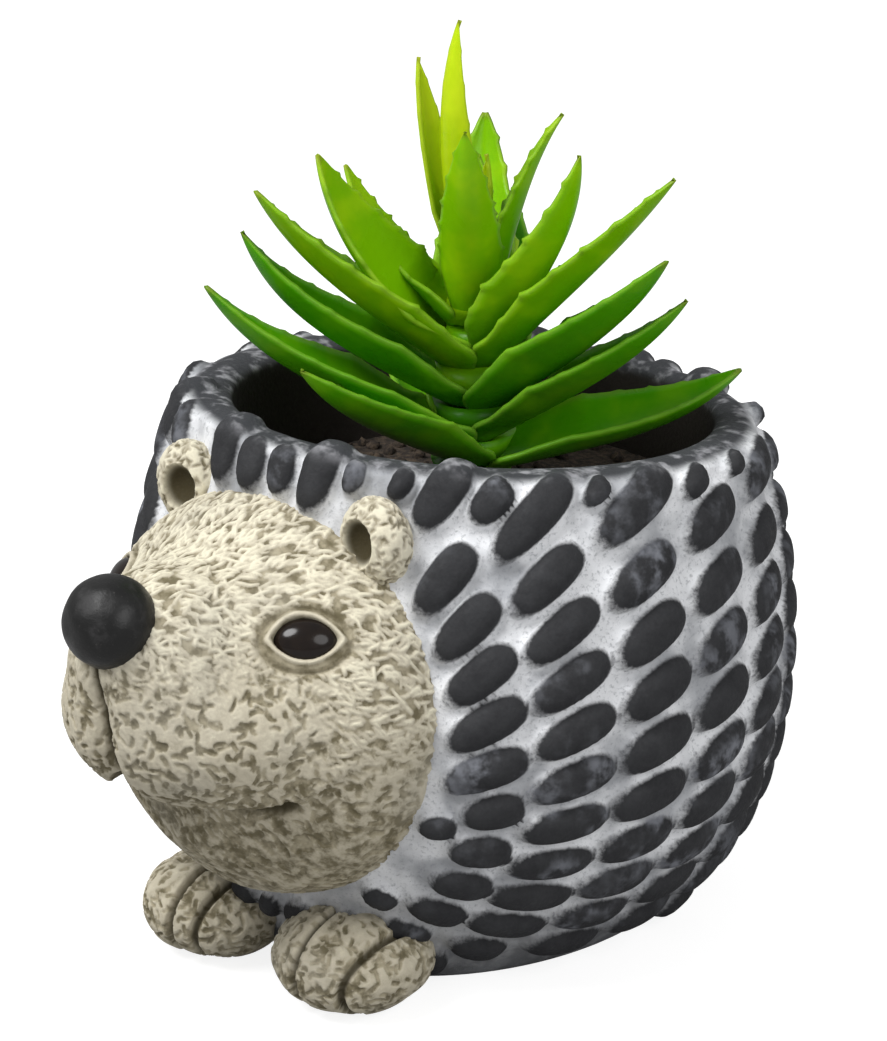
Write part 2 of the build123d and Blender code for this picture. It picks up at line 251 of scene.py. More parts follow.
pot_mesh = bmesh.new()
row_layer = pot_mesh.verts.layers.int.new("row")
quill_layer = pot_mesh.verts.layers.float.new("quill")
end_layer = pot_mesh.verts.layers.float.new("quill_end")
tone_layer = pot_mesh.verts.layers.float.new("quill_tone")
lip_layer = pot_mesh.verts.layers.float.new("over_lip")
profile = []
for row in range(len(pot_rows)):
    corner = pot_mesh.verts.new(pot_rows[row][0])
    corner[row_layer] = row
    profile.append(corner)
spin_round(pot_mesh, profile, pot_columns)
for corner in pot_mesh.verts:
    row = corner[row_layer]
    column = round(math.atan2(corner.co.y, corner.co.x) * pot_columns / (2 * math.pi)) % pot_columns
    corner.co = pot_points[row, column]
    corner[quill_layer] = quill_field[row, column]
    corner[end_layer] = quill_end[row, column] * min(1, inside[row, column] / quill_soft_end)
    corner[tone_layer] = quill_tone[row, column]
    corner[lip_layer] = over_lip[row]
bmesh.ops.holes_fill(pot_mesh, edges=pot_mesh.edges, sides=0)
bmesh.ops.recalc_face_normals(pot_mesh, faces=pot_mesh.faces)


def new_piece(name, built, body, slot, *nodes):
    """A mesh piece that rides on a CAD body and stands for CAD nodes."""
    mesh = bpy.data.meshes.new(name)
    built.to_mesh(mesh)
    built.free()
    mesh.shade_smooth()
    piece = bpy.data.objects.new(name, mesh)
    bpy.context.scene.collection.objects.link(piece)
    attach(piece, body)
    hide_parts(*nodes)
    return piece


def new_material(name):
    """A material with its nodes, its links and its shader."""
    material = bpy.data.materials.new(name)
    material.use_nodes = True
    tree = material.node_tree
    return material, tree.nodes, tree.links, tree.nodes["Principled BSDF"]


pot = new_piece("pot_casting", pot_mesh, "pot", "cast_white", "bowl", "quills")


class Nodes:
    """Short calls for building a node tree; an input is a socket or a constant."""

    def __init__(self, tree, place=None):
        self.tree = tree
        self.place = place or tree.nodes.new("ShaderNodeTexCoord").outputs["Object"]

    def feed(self, socket, value):
        if isinstance(value, bpy.types.NodeSocket):
            self.tree.links.new(value, socket)
        else:
            socket.default_value = value

    def attribute(self, name):
        node = self.tree.nodes.new("ShaderNodeAttribute")
        node.attribute_name = name
        return node.outputs["Fac"]

    def noise(self, scale, detail=3.0, roughness=0.55):
        node = self.tree.nodes.new("ShaderNodeTexNoise")
        self.feed(node.inputs["Vector"], self.place)
        node.inputs["Scale"].default_value = scale
        node.inputs["Detail"].default_value = detail
        node.inputs["Roughness"].default_value = roughness
        return node.outputs["Fac"]

    def math(self, operation, a, b=0.0, c=0.0):
        node = self.tree.nodes.new("ShaderNodeMath")
        node.operation = operation
        for socket, value in zip(node.inputs, (a, b, c)):
            self.feed(socket, value)
        return node.outputs[0]

    def step(self, value, low, high, start=0.0, end=1.0):
        node = self.tree.nodes.new("ShaderNodeMapRange")
        node.interpolation_type = "SMOOTHSTEP"
        names = ("Value", "From Min", "From Max", "To Min", "To Max")
        for name, given in zip(names, (value, low, high, start, end)):
            self.feed(node.inputs[name], given)
        return node.outputs["Result"]

    def mix(self, share, a, b):
        node = self.tree.nodes.new("ShaderNodeMix")
        node.data_type = "RGBA"
        self.feed(node.inputs["Factor"], share)
        sockets = [s for s in node.inputs if s.type == "RGBA"]
        for socket, value in zip(sockets, (a, b)):
            self.feed(socket, value if isinstance(value, bpy.types.NodeSocket) else (*value, 1.0))
        return next(s for s in node.outputs if s.type == "RGBA")

    def bump(self, height, distance, strength=1.0):
        node = self.tree.nodes.new("ShaderNodeBump")
        node.inputs["Strength"].default_value = strength
        node.inputs["Distance"].default_value = distance
        self.feed(node.inputs["Height"], height)
        return node.outputs["Normal"]


pot_paint, nodes, links, shader = new_material("pot_paint")
paint = Nodes(pot_paint.node_tree)
coarse = paint.noise(300, 3)
fine = paint.noise(1500, 4, 0.65)
patches = paint.noise(95, 3)
quill = paint.attribute("quill")
quill_far = paint.attribute("quill_end")
tone = paint.attribute("quill_tone")
lip = paint.attribute("over_lip")
smoke = paint.step(quill_far, 0.0, -0.95)
ragged = paint.math("MULTIPLY_ADD", coarse, 0.5, -0.25)
ragged = paint.math("MULTIPLY_ADD", fine, 0.3, paint.math("ADD", ragged, -0.15))
edge = paint.math("ADD", quill, paint.math("MULTIPLY", ragged, paint.math("MULTIPLY_ADD", smoke, 0.4, 0.2)))
dark = paint.step(edge, 0.0, paint.math("MULTIPLY_ADD", smoke, 0.14, 0.13))
height = nodes.new("ShaderNodeSeparateXYZ")
links.new(paint.place, height.inputs[0])
# Painted shade: towards the foot the white wash turns dark grey, standing in for the shade low on the pot.
low = paint.step(paint.math("MULTIPLY_ADD", patches, 40 * mm, height.outputs["Z"]), 46 * mm, 14 * mm)
wash = paint.mix(paint.step(patches, 0.38, 0.66), (0.74, 0.75, 0.77), (0.36, 0.37, 0.39))
painted_low_shade = paint.mix(paint.step(coarse, 0.4, 0.65), (0.045, 0.046, 0.05), (0.20, 0.205, 0.215))
wash = paint.mix(paint.math("MULTIPLY", low, 0.9), wash, painted_low_shade)
wash = paint.mix(paint.step(fine, 0.5, 0.72, 0.0, 0.6), wash, (0.24, 0.25, 0.27))
charcoal = paint.mix(coarse, (0.015, 0.015, 0.017), (0.042, 0.043, 0.046))
smudge = paint.math("MULTIPLY", paint.step(tone, 0.35, 1.0), paint.step(patches, 0.42, 0.6))
smudge = paint.math("MULTIPLY", smudge, paint.step(coarse, 0.4, 0.66, 0.0, 0.75))
charcoal = paint.mix(smudge, charcoal, (0.22, 0.23, 0.26))
color = paint.mix(dark, wash, charcoal)
rubbed = paint.mix(paint.step(coarse, 0.48, 0.72), (0.045, 0.047, 0.052), (0.30, 0.30, 0.32))
color = paint.mix(paint.step(lip, 0.03, 0.3), color, rubbed)
# Past the lip the inside turns near-black: dark paint deepened with painted shade.
color = paint.mix(paint.step(lip, 0.72, 0.98), color, (0.022, 0.018, 0.015))
links.new(color, shader.inputs["Base Color"])
links.new(paint.step(fine, 0.3, 0.7, 0.62, 0.85), shader.inputs["Roughness"])
links.new(paint.bump(paint.math("MULTIPLY_ADD", coarse, 1.5, fine), 0.25 * mm, 0.6), shader.inputs["Normal"])
shader.inputs["Specular IOR Level"].default_value = 0.2
pot.data.materials.append(pot_paint)

# Head: part of the same casting, smooth skull and muzzle with short tooled strokes of fur all over.
# Its upper lip hangs in two lobes over the jaw, and lids are modelled round the two eye sockets.
# It is painted taupe and then dry-brushed with cream, which catches only the raised strokes.
# Painted shade darkens its creases, mouth, eye sockets and lid folds, and its cheeks and lower part.
skull = ((0, -46, 50), (33, 28, 33))
muzzle = ((0, -64, 53), (22, 21, 15))
jaw = ((0, -55, 35), (18, 13.5, 12))
bridge = ((0, -70, 64), (14, 16, 13))
head_middle = np.array((0, -57.0, 52.0))
nose_middle = np.array((0, -82.3, 72.0))
bridge_blend = 7
skull_blend = 6
jaw_blend = 1.6
head_detail = 7
head_span = 70.0
head_halvings = 26
sunk_in_pot = 1.2
head_back = -20
lip_low = 41.5
lip_notch = 5.0
lip_notch_width = 4.2
lip_overhang = 5.0
lip_edge = 1.3
lip_rise = 0.05
lip_rise_from = 16
chin_set_back = 2.2
chin_front = -58
chin_fade = 8
lip_valley = 2.2
lip_valley_width = 2.4
lip_valley_top = 66
lip_valley_fade = 8
lip_line_width = 0.5
lip_line_depth = 1.2
lip_line_top = 68
lip_line_fade = 2
lips_front = -62
lips_front_fade = 3
mouth_corner = 22.0
mouth_width = 0.9
mouth_depth = 1.5
mouth_drop = 0.9
mouth_hook_width = 0.6
mouth_hook = ((21.6, -66.8, 43.0), (22.4, -65.6, 40.6), (21.4, -64.7, 37.6))
fur_strokes = 6200
fur_length = 1.5
fur_width = 0.42
fur_height = 0.45
fur_wander = 0.5
fur_seed = 7
pit_strokes = 2600
pit_length = 1.25
pit_width = 0.46
pit_depth = 0.45
pit_wander = 1.1
pit_seed = 8
pitted_front = -57
pitted_top = 70
pitted_fade = 9
cheek_top = 56
cheek_fade = 12
eye_middle = np.array((20.5, -61.4, 68.4))
eye_half = (4.9, 3.2)
eye_ring_half = (6.4, 4.6)
eye_reach_in = 8
socket_edge = 1.02
socket_fade = 0.12
lid_place = 1.17
lid_width = 0.5
lid_height = 0.6
lid_fold_depth = 0.6
outer_fold = ((5.2, 0.2), (7.4, -1.2), (9.2, -1.6))
inner_fold = ((-5.2, 0.4), (-7.0, 1.6))
fold_width = 0.5
eye_sink = 1.8


def outside_of(points, form):
    """How far points lie outside an ellipsoid, in millimetres, about."""
    center, radii = (np.array(part) for part in form)
    near = (points - center) / radii
    far = near / radii
    size = np.linalg.norm(near, axis=-1)
    return size * (size - 1) / np.maximum(np.linalg.norm(far, axis=-1), 1e-9)


def melded(a, b, reach):
    """Two distances joined with a smooth fillet."""
    share = np.clip(0.5 + 0.5 * (b - a) / reach, 0, 1)
    return b + (a - b) * share - reach * share * (1 - share)


def lip_height(across):
    """Height of the upper lip's edge, which rises to a notch in the middle."""
    notch = lip_notch * np.exp(-((across / lip_notch_width) ** 2))
    return lip_low + notch + lip_rise * np.maximum(np.abs(across) - lip_rise_from, 0) ** 2


def outside_head(points):
    """How far points lie outside the head, whose upper lip hangs in two lobes over the jaw."""
    x, y, z = points[..., 0], points[..., 1], points[..., 2]
    under_lip = np.clip((lip_height(x) - z) / lip_edge, 0, 1)
    valley = lip_valley * np.exp(-((x / lip_valley_width) ** 2))
    valley = valley * np.clip((lip_valley_top - z) / lip_valley_fade, 0, 1)
    snout = np.stack((x, y - valley, z), axis=-1)
    lips = outside_of(snout, muzzle) + lip_overhang * under_lip
    face = melded(lips, outside_of(snout, bridge), bridge_blend)
    chin = chin_set_back * under_lip * np.clip((chin_front - y) / chin_fade, 0, 1)
    face = melded(face, outside_of(points, skull) + chin, skull_blend)
    return melded(face, outside_of(points, jaw), jaw_blend)


def on_head(ways):
    """The points of the head in the directions given from its middle."""
    low = np.zeros(len(ways))
    high = np.full(len(ways), head_span)
    for halving in range(head_halvings):
        middle = (low + high) / 2
        inside = outside_head(head_middle + ways * middle[:, None]) < 0
        low = np.where(inside, middle, low)
        high = np.where(inside, high, middle)
    return head_middle + ways * low[:, None]


def off_line(points, line):
    """How far points lie from a line through the places given, in millimetres."""
    gaps = []
    for start, end in zip(line, line[1:]):
        start = np.array(start)
        way = np.array(end) - start
        share = np.clip((points - start) @ way / (way @ way), 0, 1)
        gaps.append(np.linalg.norm(points - start - share[:, None] * way, axis=1))
    return np.min(gaps, axis=0)


def corner_points(built):
    """The corner points of a mesh in the making, in millimetres."""
    return np.array([corner.co[:] for corner in built.verts]) / mm


def corner_normals(built):
    """The outward directions at the corners of a mesh in the making."""
    bmesh.ops.recalc_face_normals(built, faces=built.faces)
    built.normal_update()
    return np.array([corner.normal[:] for corner in built.verts])


def move_corners(built, points):
    """Puts the corners of a mesh in the making at points in millimetres."""
    for corner, point in zip(built.verts, points):
        corner.co = point * mm


def fur_relief(points, normals, ways, seed, strokes, length, width, wander):
    """Raised strokes, 0 to 1, scattered over a surface along the ways given."""
    chance = random.Random(seed)
    tree = kdtree.KDTree(len(points))
    for index, point in enumerate(points):
        tree.insert(point, index)
    tree.balance()
    relief = np.zeros(len(points))
    for stroke in range(strokes):
        root = chance.randrange(len(points))
        normal = normals[root]
        way = ways[root] - normal * (ways[root] @ normal)
        way /= np.linalg.norm(way) + 1e-9
        side = np.cross(normal, way)
        turn = chance.gauss(0, wander)
        way, side = way * math.cos(turn) + side * math.sin(turn), side * math.cos(turn) - way * math.sin(turn)
        half = length * chance.uniform(0.6, 1.3)
        near = np.array([found[1] for found in tree.find_range(points[root], half)])
        gap = points[near] - points[root]
        u = gap @ way / half
        v = (gap @ side) / (width * chance.uniform(0.8, 1.3)) + chance.uniform(-0.9, 0.9) * u * u
        form = np.clip(1 - u * u, 0, 1) ** 0.6 * np.clip(1 - v * v, 0, 1) * chance.uniform(0.6, 1)
        relief[near] = np.maximum(relief[near], form)
    return relief


head_mesh = bmesh.new()
bmesh.ops.create_icosphere(head_mesh, subdivisions=head_detail, radius=1)
ways = np.array([corner.co[:] for corner in head_mesh.verts])
move_corners(head_mesh, on_head(ways))
buried = []
for face in head_mesh.faces:
    spot = face.calc_center_median()
    way = Vector((spot.x, spot.y, 0)).normalized()
    wall = bowl_surface.ray_cast(way * probe_from + Vector((0, 0, spot.z)), -way)[0]
    if wall is None:
        continue
    if spot.y > head_back * mm or spot.xy.length < wall.xy.length - sunk_in_pot * mm:
        buried.append(face)
bmesh.ops.delete(head_mesh, geom=buried, context="FACES")
bmesh.ops.subdivide_edges(head_mesh, edges=head_mesh.edges, cuts=1, use_grid_fill=True)
points = corner_points(head_mesh)
ways = points - head_middle
points = on_head(ways / np.linalg.norm(ways, axis=1, keepdims=True))
move_corners(head_mesh, points)
normals = corner_normals(head_mesh)

mirrored = points.copy()
mirrored[:, 0] = np.abs(mirrored[:, 0])
in_front = np.clip((lips_front - points[:, 1]) / lips_front_fade, 0, 1)
above_lip = points[:, 2] - lip_height(points[:, 0])
lip_crease = np.exp(-((points[:, 0] / lip_line_width) ** 2)) * in_front * np.clip(above_lip, 0, 1)
lip_crease *= np.clip((lip_line_top - points[:, 2]) / lip_line_fade, 0, 1)
mouth = np.exp(-(((above_lip + mouth_drop) / mouth_width) ** 2)) * in_front
mouth *= np.clip(mouth_corner - mirrored[:, 0], 0, 1)
mouth = np.maximum(mouth, np.exp(-((off_line(mirrored, mouth_hook) / mouth_hook_width) ** 2)))
eye_out = np.array(outside_head(np.array([eye_middle + 0.1 * axis for axis in np.eye(3)])))
eye_out -= outside_head(eye_middle[None])[0]
eye_out /= np.linalg.norm(eye_out)
eye_across = np.cross((0, 0, 1), eye_out)
eye_across /= np.linalg.norm(eye_across)
eye_up = np.cross(eye_out, eye_across)
gap = mirrored - eye_middle
eye_u = gap @ eye_across / eye_half[0]
eye_v = gap @ eye_up / eye_half[1]
upper = np.where(eye_v > 0, 1.08 - 0.15 * eye_u, 0.92)
eye_reach = np.sqrt(eye_u**2 + (eye_v / (upper * np.sqrt(np.clip(1.02 - 0.55 * eye_u**2, 0.2, 1)))) ** 2)
eye_near = np.abs(gap @ eye_out) < eye_reach_in
socket = np.clip((socket_edge - eye_reach) / socket_fade, 0, 1) * eye_near
eye_ring = np.hypot(eye_u * eye_half[0] / eye_ring_half[0], eye_v * eye_half[1] / eye_ring_half[1])
lid_gap = (eye_reach - lid_place) * eye_half[1]
lid = np.exp(-((lid_gap / lid_width) ** 2)) * eye_near
fold_gap = np.where(eye_v > 0, (eye_ring - 1.03) * 5.2, (eye_ring - 1.12) * 5.4)
fold = np.exp(-((fold_gap / fold_width) ** 2)) * eye_near
eye_plane = np.stack((eye_u * eye_half[0], eye_v * eye_half[1]), axis=1)
corner_gap = np.minimum(off_line(eye_plane, outer_fold), off_line(eye_plane, inner_fold))
fold = np.maximum(fold, np.exp(-((corner_gap / fold_width) ** 2)) * eye_near)
smooth = np.where(eye_near, np.clip((eye_ring - 1.05) / 0.3, 0, 1), 1)
creases = np.clip(lip_crease + mouth, 0, 1)
plain = smooth * (1 - creases)
on_snout = np.clip((pitted_front - points[:, 1]) / pitted_fade, 0, 1)
on_snout *= np.clip((pitted_top - points[:, 2]) / pitted_fade, 0, 1)
on_cheek = np.clip((cheek_top - points[:, 2]) / cheek_fade, 0, 1)
pitted = np.maximum(on_snout, on_cheek)
away = points - nose_middle
fur = fur_relief(points, normals, away, fur_seed, fur_strokes, fur_length, fur_width, fur_wander)
fur *= plain * (1 - 0.8 * pitted)
pits = fur_relief(points, normals, away, pit_seed, pit_strokes, pit_length, pit_width, pit_wander)
pits *= plain * pitted
lift = fur_height * fur - pit_depth * pits - lip_line_depth * lip_crease - mouth_depth * mouth
lift += lid_height * lid * (1 - socket) - eye_sink * socket - lid_fold_depth * fold * (1 - lid)
points = points + normals * lift[:, None]
move_corners(head_mesh, points)
fur_layer = head_mesh.verts.layers.float.new("fur")
crease_shade_layer = head_mesh.verts.layers.float.new("crease")
# Painted shade: the lip crease, the mouth, the eye sockets and the lid folds are darkened.
shade = np.clip(creases * 1.1 + socket + 0.5 * fold * (1 - lid), 0, 1)
# The level of cream the dry brush leaves; the cheeks and the head below 44 mm are turned darker as painted
# shade.
cream_and_low_shade = fur + pitted * (0.46 - 0.7 * pits - 0.3 * fur) * plain
cream_and_low_shade = np.clip(cream_and_low_shade - 0.12 * on_cheek - 0.12 * np.clip((44 - points[:, 2]) / 6, 0, 1) + lid * 0.6, 0, 1)
for corner, raised, deep in zip(head_mesh.verts, cream_and_low_shade, shade):
    corner[fur_layer] = raised
    corner[crease_shade_layer] = deep
head = new_piece("head_casting", head_mesh, "pot", "face_cream", "head")


def face_paint_group():
    """Dry-brushed paint: cream on what is raised, taupe in what is not, and dark brown painted shade on what
    is deep.
    """
    group = bpy.data.node_groups.new("dry_brushed", "ShaderNodeTree")
    group.interface.new_socket("Place", in_out="INPUT", socket_type="NodeSocketVector")
    group.interface.new_socket("Raised", in_out="INPUT", socket_type="NodeSocketFloat")
    group.interface.new_socket("Painted Shade", in_out="INPUT", socket_type="NodeSocketFloat")
    group.interface.new_socket("Color", in_out="OUTPUT", socket_type="NodeSocketColor")
    group.interface.new_socket("Roughness", in_out="OUTPUT", socket_type="NodeSocketFloat")
    group.interface.new_socket("Height", in_out="OUTPUT", socket_type="NodeSocketFloat")
    given = group.nodes.new("NodeGroupInput").outputs
    result = group.nodes.new("NodeGroupOutput").inputs
    brush = Nodes(group, given["Place"])
    grain = brush.noise(2200, 4, 0.7)
    smudge = brush.noise(420, 3)
    cloud = brush.noise(60, 2)
    raised = brush.math("MULTIPLY_ADD", brush.math("ADD", smudge, -0.5), 0.6, given["Raised"])
    raised = brush.math("MULTIPLY_ADD", brush.math("ADD", grain, -0.5), 0.35, raised)
    base = brush.mix(brush.step(smudge, 0.35, 0.65), (0.15, 0.128, 0.075), (0.36, 0.32, 0.225))
    color = brush.mix(brush.step(raised, 0.1, 0.5), base, (0.50, 0.455, 0.35))
    color = brush.mix(brush.step(raised, 0.45, 0.9), color, (0.72, 0.675, 0.525))
    color = brush.mix(brush.step(cloud, 0.45, 0.75, 0.0, 0.3), color, (0.42, 0.40, 0.34))
    # Painted shade: dark brown in creases, hollows and grooves.
    color = brush.mix(brush.step(given["Painted Shade"], 0.25, 0.95), color, (0.050, 0.040, 0.018))
    brush.feed(result["Color"], color)
    brush.feed(result["Roughness"], brush.step(grain, 0.3, 0.7, 0.7, 0.9))
    brush.feed(result["Height"], brush.math("MULTIPLY_ADD", grain, 0.6, smudge))
    return group


dry_brushed = face_paint_group()


def face_paint(name, bump_depth):
    """The painted casting of the head, the ears and the paws."""
    material, nodes, links, shader = new_material(name)
    paint = Nodes(material.node_tree)
    brushed = nodes.new("ShaderNodeGroup")
    brushed.node_tree = dry_brushed
    links.new(paint.place, brushed.inputs["Place"])
    links.new(paint.attribute("fur"), brushed.inputs["Raised"])
    links.new(paint.attribute("crease"), brushed.inputs["Painted Shade"])
    links.new(brushed.outputs["Color"], shader.inputs["Base Color"])
    links.new(brushed.outputs["Roughness"], shader.inputs["Roughness"])
    links.new(paint.bump(brushed.outputs["Height"], bump_depth, 0.7), shader.inputs["Normal"])
    shader.inputs["Specular IOR Level"].default_value = 0.25
    return material


head.data.materials.append(face_paint("face_paint", 0.25 * mm))

# Nose: a cast ball, a little uneven, bedded in a seat at the tip of the snout.
# It is painted satin black and dusted with grey from handling.
nose_low, nose_high = (np.array(corner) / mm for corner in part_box("nose"))
nose_dents = 0.18
nose_mesh = bmesh.new()
bmesh.ops.create_icosphere(nose_mesh, subdivisions=6, radius=1)
ways = np.array([corner.co[:] for corner in nose_mesh.verts])
lumps = np.array([noise.noise(Vector(way) * 2.2) for way in ways])
nose_half = (nose_high - nose_low) / 2 - nose_dents * (1 + lumps[:, None])
move_corners(nose_mesh, (nose_low + nose_high) / 2 + ways * nose_half)
nose = new_piece("nose_ball", nose_mesh, "pot", "nose_black", "nose")
nose_paint, nodes, links, shader = new_material("nose_paint")
paint = Nodes(nose_paint.node_tree)
dust = paint.noise(240, 4, 0.6)
specks = paint.noise(1500, 3, 0.7)
color = paint.mix(paint.step(dust, 0.5, 0.72, 0.0, 0.7), (0.006, 0.006, 0.006), (0.035, 0.034, 0.035))
color = paint.mix(paint.step(specks, 0.62, 0.75, 0.0, 0.3), color, (0.09, 0.085, 0.08))
links.new(color, shader.inputs["Base Color"])
links.new(paint.step(dust, 0.4, 0.7, 0.38, 0.62), shader.inputs["Roughness"])
links.new(paint.bump(specks, 0.12 * mm, 0.5), shader.inputs["Normal"])
shader.inputs["Specular IOR Level"].default_value = 0.35
nose.data.materials.append(nose_paint)

# Eyes: almond beads of resin, glossy black with a trace of brown.
# Each is glued in its socket, deep enough that the lids stand round it.
bead_margin = 0.3
bead_depth = 2.5
bead_sink = 1.2
eye_paint, nodes, links, shader = new_material("eye_paint")
paint = Nodes(eye_paint.node_tree)
color = paint.mix(paint.noise(500, 2), (0.004, 0.003, 0.003), (0.016, 0.010, 0.007))
links.new(color, shader.inputs["Base Color"])
shader.inputs["Roughness"].default_value = 0.16
shader.inputs["Specular IOR Level"].default_value = 0.3
sides = (("left", 1), ("right", -1))
for name, side in sides:
    low, high = (np.array(corner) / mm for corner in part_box(f"{name}_eye"))
    eye_mesh = bmesh.new()
    bmesh.ops.create_uvsphere(eye_mesh, u_segments=48, v_segments=32, radius=1)
    ways = np.array([corner.co[:] for corner in eye_mesh.verts])
    turned = (side, 1, 1)
    bead = ways[:, :1] * eye_across * turned * eye_half[0]
    bead = bead + ways[:, 2:] * eye_up * turned * (eye_half[1] + bead_margin)
    bead = bead + ways[:, 1:2] * eye_out * turned * bead_depth
    move_corners(eye_mesh, (low + high) / 2 + bead - eye_out * turned * bead_sink)
    bmesh.ops.recalc_face_normals(eye_mesh, faces=eye_mesh.faces)
    eye = new_piece(f"{name}_eye_bead", eye_mesh, "pot", "eye_black", f"{name}_eye")
    eye.data.materials.append(eye_paint)

# Ears: small thick cups, cast with the head at its top corners, their backs against the pot.
# They are pitted and dry-brushed as the face is, and brown in the hollow, which is painted shade.
ear_half = (6.5, 4.5, 7.2)
ear_hollow = (3.5, 4.0)
ear_hollow_depth = 2.8
ear_hollow_in = 0.8
ear_hollow_up = 0.3
ear_pit_depth = 0.3
# Seed, number, length, width and wander of the pits.
ear_pits = (3, 420, 0.9, 0.4, 1.5)
ear_paint = face_paint("ear_paint", 0.3 * mm)
for name, side in sides:
    low, high = (np.array(corner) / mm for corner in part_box(f"{name}_ear"))
    middle = np.array(((low[0] + high[0]) / 2, low[1] + ear_half[1], high[2] - ear_half[2]))
    ear_mesh = bmesh.new()
    bmesh.ops.create_icosphere(ear_mesh, subdivisions=6, radius=1)
    ways = np.array([corner.co[:] for corner in ear_mesh.verts])
    points = middle + ways * ear_half
    gap = points - middle - (-ear_hollow_in * side, 0, ear_hollow_up)
    reach = np.hypot(gap[:, 0] / ear_hollow[0], gap[:, 2] / ear_hollow[1])
    hollow = np.clip(1 - reach**2.5, 0, 1) * (ways[:, 1] < 0)
    points = points + np.outer(hollow, (0, ear_hollow_depth, 0))
    move_corners(ear_mesh, points)
    normals = corner_normals(ear_mesh)
    pits = fur_relief(points, normals, points - middle + (0, 9, 0), *ear_pits)
    pits *= 1 - np.clip(hollow * 3, 0, 1)
    move_corners(ear_mesh, points - normals * pits[:, None] * ear_pit_depth)
    raised_layer = ear_mesh.verts.layers.float.new("fur")
    hollow_shade_layer = ear_mesh.verts.layers.float.new("crease")
    for corner, pit, deep in zip(ear_mesh.verts, pits, hollow):
        corner[raised_layer] = 0.78 - 0.75 * pit
        # Painted shade: the hollow is darkened to brown.
        corner[hollow_shade_layer] = min(1, 1.3 * deep) ** 0.5
    ear = new_piece(f"{name}_ear_cup", ear_mesh, "pot", "face_cream", f"{name}_ear")
    ear.data.materials.append(ear_paint)

# Front paws: blunt lumps of the casting at the pot's foot, flat where they stand.
# Two grooves in each mark the toes, darkened with painted shade, and short tooled marks carry the same
# dry-brushed paint.
paw_half = np.array((13, 13.5, 8.7))
paw_middle = np.array((15, -45.5, 8))
toe_lines = {"left": (-1.0, 7.6), "right": (0.8, 5.6)}
toe_line_width = 0.7
toe_line_depth = 1.7
toe_spread = 0.03
paw_swell = 0.5
paw_mark_depth = 0.4
# Seed, number, length, width and wander of the marks.
paw_marks = (5, 800, 1.1, 0.45, 1.4)
paw_paint = face_paint("paw_paint", 0.35 * mm)
for name, side in sides:
    paw_mesh = bmesh.new()
    bmesh.ops.create_icosphere(paw_mesh, subdivisions=7, radius=1)
    ways = np.array([corner.co[:] for corner in paw_mesh.verts])
    middle = paw_middle * (side, 1, 1)
    points = middle + ways * paw_half
    points[:, 2] = np.maximum(points[:, 2], 0)
    move_corners(paw_mesh, points)
    normals = corner_normals(paw_mesh)
    front = np.clip((middle[1] + 6 - points[:, 1]) / 5, 0, 1)
    lines = np.zeros(len(points))
    for line in toe_lines[name]:
        bend = line + toe_spread * line * (points[:, 2] - paw_middle[2])
        lines = np.maximum(lines, np.exp(-(((points[:, 0] - middle[0] - bend) / toe_line_width) ** 4)))
    lines *= front
    swell = np.array([noise.noise(Vector(point) * 0.16) for point in points])
    marks = fur_relief(points, normals, points * (0, 0.4, 1), *paw_marks)
    blotch = np.array([noise.noise(Vector(point) * 0.7 + Vector((9, 2, 4))) for point in points])
    lift = paw_swell * swell - paw_mark_depth * marks * (1 - lines) - toe_line_depth * lines
    points = points + normals * lift[:, None]
    points[:, 2] = np.maximum(points[:, 2], 0)
    move_corners(paw_mesh, points)
    raised_layer = paw_mesh.verts.layers.float.new("fur")
    hollow_shade_layer = paw_mesh.verts.layers.float.new("crease")
    for corner, mark, patch, line in zip(paw_mesh.verts, marks, blotch, lines):
        corner[raised_layer] = 0.45 + 0.22 * patch - 0.55 * mark
        # Painted shade: the toe grooves are darkened.
        corner[hollow_shade_layer] = 0.8 * line
    paw = new_piece(f"{name}_paw_casting", paw_mesh, "pot", "face_cream", f"{name}_paw")
    paw.data.materials.append(paw_paint)

# Filling: a plug of green floral foam pressed into the pot, hidden under the topping.
# The topping is a dark layer with loose crumbs on it, open in the middle for the plant's stem.
soil_low, soil_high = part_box("soil_topping")
soil_columns = 120
soil_rows = 30
soil_fall = 1.5
soil_sunk = 0.5
soil_lumps = 0.45
crumb_count = 260
crumb_drop = 1.6 * mm
crumb_sunk = 0.3 * mm
stem_hole_share = 0.06
soil_mesh = bmesh.new()
soil_radius = soil_high.x
shares = np.linspace(stem_hole_share, 1, soil_rows)
profile = [soil_mesh.verts.new((soil_radius * share, 0, soil_high.z)) for share in shares]
profile.append(soil_mesh.verts.new((soil_radius * 0.98, 0, soil_low.z)))
spin_round(soil_mesh, profile, soil_columns)
for corner in soil_mesh.verts:
    share = corner.co.xy.length / soil_radius
    if corner.co.z > soil_low.z + 1 * mm:
        lump = noise.noise(corner.co * 320) + 0.6 * noise.noise(corner.co * 800)
        corner.co.z -= (soil_fall * share**2 + soil_sunk - soil_lumps * lump) * mm
chance = random.Random(11)
for crumb in range(crumb_count):
    turn = chance.uniform(0, 2 * math.pi)
    radius = soil_radius * math.sqrt(chance.uniform(0.03, 0.9))
    size = chance.uniform(0.5, 1.5) * mm
    height = soil_high.z - crumb_drop * (radius / soil_radius) ** 2 - crumb_sunk
    spot = Vector((radius * math.cos(turn), radius * math.sin(turn), height))
    made = bmesh.ops.create_icosphere(soil_mesh, subdivisions=1, radius=size, matrix=Matrix.Translation(spot))
    for corner in made["verts"]:
        corner.co += Vector([chance.uniform(-0.3, 0.3) * size for axis in "xyz"])
bmesh.ops.recalc_face_normals(soil_mesh, faces=soil_mesh.faces)
soil = new_piece("soil_layer", soil_mesh, "pot", "soil", "soil_topping")
soil_paint, nodes, links, shader = new_material("soil_paint")
paint = Nodes(soil_paint.node_tree)
